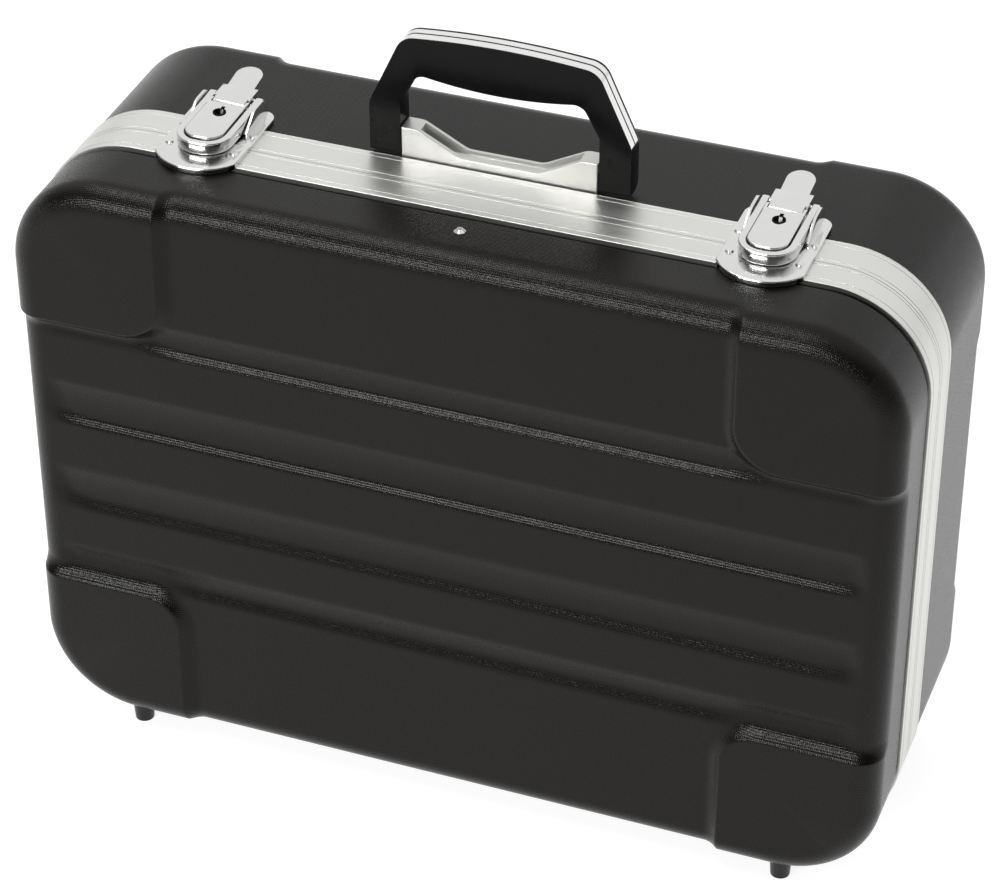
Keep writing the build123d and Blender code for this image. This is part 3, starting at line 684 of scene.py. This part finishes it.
def draw_loop(hand):
    """The U-shaped loop that runs round the lock's hood, thinner towards the pin that it hangs on."""
    name = f"latch_loop_{hand}"
    low, high = node_box(name)
    pin_low, pin_high = node_box(f"loop_pin_{hand}")
    centre = (low[0] + high[0]) / 2
    pin_y = (pin_low[1] + pin_high[1]) / 2
    pin_z = (pin_low[2] + pin_high[2]) / 2
    half = loop_half - loop_strip / 2
    radius = loop_inner_radius + loop_strip / 2
    front = loop_tip + loop_strip / 2
    leg = [pin_y + loop_end_radius * math.sin(a) for a in np.linspace(math.pi / 2, 0, LOOP_END_POINTS)]
    leg += list(np.linspace(pin_y - loop_end_radius, front + radius, LOOP_POINTS))
    arc = [
        (half - radius + radius * math.cos(a), front + radius - radius * math.sin(a))
        for a in np.linspace(0, math.pi / 2, LOOP_POINTS)[1:]
    ]
    side = [(half, y) for y in leg] + arc
    path = side + [(-x, y) for x, y in side[::-1] if x > LOOP_MIDDLE]
    lows, highs = [], []
    for x, y in path:
        if y > pin_y:
            half_end = math.sqrt(max(loop_end_radius ** 2 - (y - pin_y) ** 2, LOOP_THINNEST ** 2))
            lows.append(pin_z - half_end)
            highs.append(pin_z + half_end)
        else:
            rise = np.clip((y - loop_taper) / (pin_y - loop_taper), 0, 1)
            lows.append(loop_bottom + rise * (pin_z - loop_end_radius - loop_bottom))
            highs.append(loop_top)
    path = [(x + centre, y) for x, y in path]
    points, faces = band_along(path, loop_strip / 2, lows, highs, loop_bevel)
    body = body_of(frame["nodes"][name])[0]
    add_piece(f"draw_loop_{hand}", points, faces, body, chrome, CRISP_SHELL, (name,))


def key_slot_painted_shade(hand):
    """A dark disc in the plug: painted shade that gives its key slot a black floor."""
    name = f"lock_plug_{hand}"
    low, high = node_box(name)
    middle_x, middle_y = (low[0] + high[0]) / 2, (low[1] + high[1]) / 2
    radius = (high[0] - low[0]) * KEY_FLOOR_RADIUS
    tall = high[2] - low[2]
    count = KEY_FLOOR_SIDES
    turns = [2 * math.pi * i / count for i in range(count)]
    points = [
        (middle_x + radius * math.cos(a), middle_y + radius * math.sin(a), low[2] + tall * share)
        for share in (KEY_FLOOR_LOW, KEY_FLOOR_HIGH) for a in turns
    ]
    faces = [(i, (i + 1) % count, count + (i + 1) % count, count + i) for i in range(count)]
    faces += [tuple(range(count))[::-1], tuple(range(count, 2 * count))]
    add_piece(f"key_slot_painted_shade_{hand}", points, faces, body_of(frame["nodes"][name])[0], key_black)


for hand in ("left", "right"):
    draw_loop(hand)
    for kind, width in LATCH_EDGES.items():
        dressed(f"{kind}_{hand}", width, chrome)
    dressed(f"lock_plug_{hand}", PLUG_EDGE, key_black)
    key_slot_painted_shade(hand)

# Handle and bracket
dressed("handle_grip", GRIP_EDGE, handle_plastic, GRIP_EDGE_STEPS, GRIP_CHAMFER)
dressed("handle_bracket", BRACKET_EDGE, bracket_silver)

# Camera at the photograph's viewing angle
CAMERA_EYE = Vector((519.2, -1391.57, 1257.22))
CAMERA_RIGHT = Vector((0.93747, 0.34807, -0.00124))
CAMERA_UP = Vector((-0.20282, 0.54916, 0.81073))
CAMERA_BACK = Vector((0.28287, -0.75978, 0.58541))
CAMERA_LENS = 126.113
CAMERA_SENSOR = 36.0
NEAREST_SEEN = 0.05
FARTHEST_SEEN = 200
camera_data = bpy.data.cameras.new("photo_camera")
camera_data.sensor_fit = "HORIZONTAL"
camera_data.sensor_width = CAMERA_SENSOR
camera_data.lens = CAMERA_LENS
camera_data.clip_start = NEAREST_SEEN
camera_data.clip_end = FARTHEST_SEEN
camera = bpy.data.objects.new("photo_camera", camera_data)
bpy.context.scene.collection.objects.link(camera)
camera_turn = Matrix((CAMERA_RIGHT, CAMERA_UP, CAMERA_BACK)).transposed().to_4x4()
camera.matrix_world = Matrix.Translation(CAMERA_EYE * MM) @ camera_turn
bpy.context.scene.camera = camera

# Studio: a plain floor that glows evenly, so that it shows white
FLOOR_HALF = 60.0
FLOOR_GREY = 0.3
FLOOR_ROUGHNESS = 0.9
FLOOR_GLOW = 0.85
floor_mesh = bpy.data.meshes.new("studio_floor")
floor_corners = [(x * FLOOR_HALF, y * FLOOR_HALF, 0) for x, y in ((-1, -1), (1, -1), (1, 1), (-1, 1))]
floor_mesh.from_pydata(floor_corners, [], [(0, 1, 2, 3)])
floor = bpy.data.objects.new("studio_floor", floor_mesh)
bpy.context.scene.collection.objects.link(floor)
floor_material, _, floor_shader = new_material("studio_floor")
floor_shader.inputs["Base Color"].default_value = (FLOOR_GREY, FLOOR_GREY, FLOOR_GREY, 1)
floor_shader.inputs["Roughness"].default_value = FLOOR_ROUGHNESS
floor_shader.inputs["Emission Color"].default_value = (1, 1, 1, 1)
floor_shader.inputs["Emission Strength"].default_value = FLOOR_GLOW
floor_mesh.materials.append(floor_material)

# The surrounding: a direction's share of back and of up are weighed, and the sum goes from dim to bright
SKY_BACK = 0.6
SKY_UP = 0.8
SKY_FROM = 0.15
SKY_TO = 0.65
WORLD_DIM = 0.06
WORLD_BRIGHT = 1.03
world = bpy.data.worlds.new("studio")
bpy.context.scene.world = world
world.use_nodes = True
sky = world.node_tree
sky_way = node(sky, "ShaderNodeTexCoord")
sky_parts = node(sky, "ShaderNodeSeparateXYZ")
sky.links.new(sky_way.outputs["Generated"], sky_parts.inputs["Vector"])
sky_back = node(sky, "ShaderNodeMath", operation="MULTIPLY")
sky_back.inputs[1].default_value = SKY_BACK
sky.links.new(sky_parts.outputs["Y"], sky_back.inputs[0])
sky_lean = node(sky, "ShaderNodeMath", operation="MULTIPLY_ADD")
sky_lean.inputs[1].default_value = SKY_UP
sky.links.new(sky_parts.outputs["Z"], sky_lean.inputs[0])
sky.links.new(sky_back.outputs[0], sky_lean.inputs[2])
background = sky.nodes["Background"]
background.inputs["Color"].default_value = (1, 1, 1, 1)
sky_light = mapped(sky, sky_lean.outputs[0], SKY_FROM, SKY_TO, WORLD_DIM, WORLD_BRIGHT)
sky.links.new(sky_light, background.inputs["Strength"])


def soft_box(name, place, target, size, radiance):
    """A rectangular area light that faces its target, as bright as the radiance says."""
    data = bpy.data.lights.new(name, "AREA")
    data.shape = "RECTANGLE"
    data.size, data.size_y = (s * MM for s in size)
    data.energy = radiance * math.pi * data.size * data.size_y
    lamp = bpy.data.objects.new(name, data)
    bpy.context.scene.collection.objects.link(lamp)
    lamp.location = Vector(place) * MM
    lamp.rotation_euler = (Vector(place) - Vector(target)).to_track_quat("Z", "Y").to_euler()


# Two long strips of light, one above the case and one in front of it
soft_box(
    "soft_box_above", place=(-420, -405, 1735), target=(0, -60, 340), size=(1500, 140), radiance=15.0
)
soft_box(
    "soft_box_front", place=(-620, -1900, 1180), target=(0, -80, 340), size=(1700, 150), radiance=40.0
)
bpy.context.scene.view_settings.view_transform = "Standard"
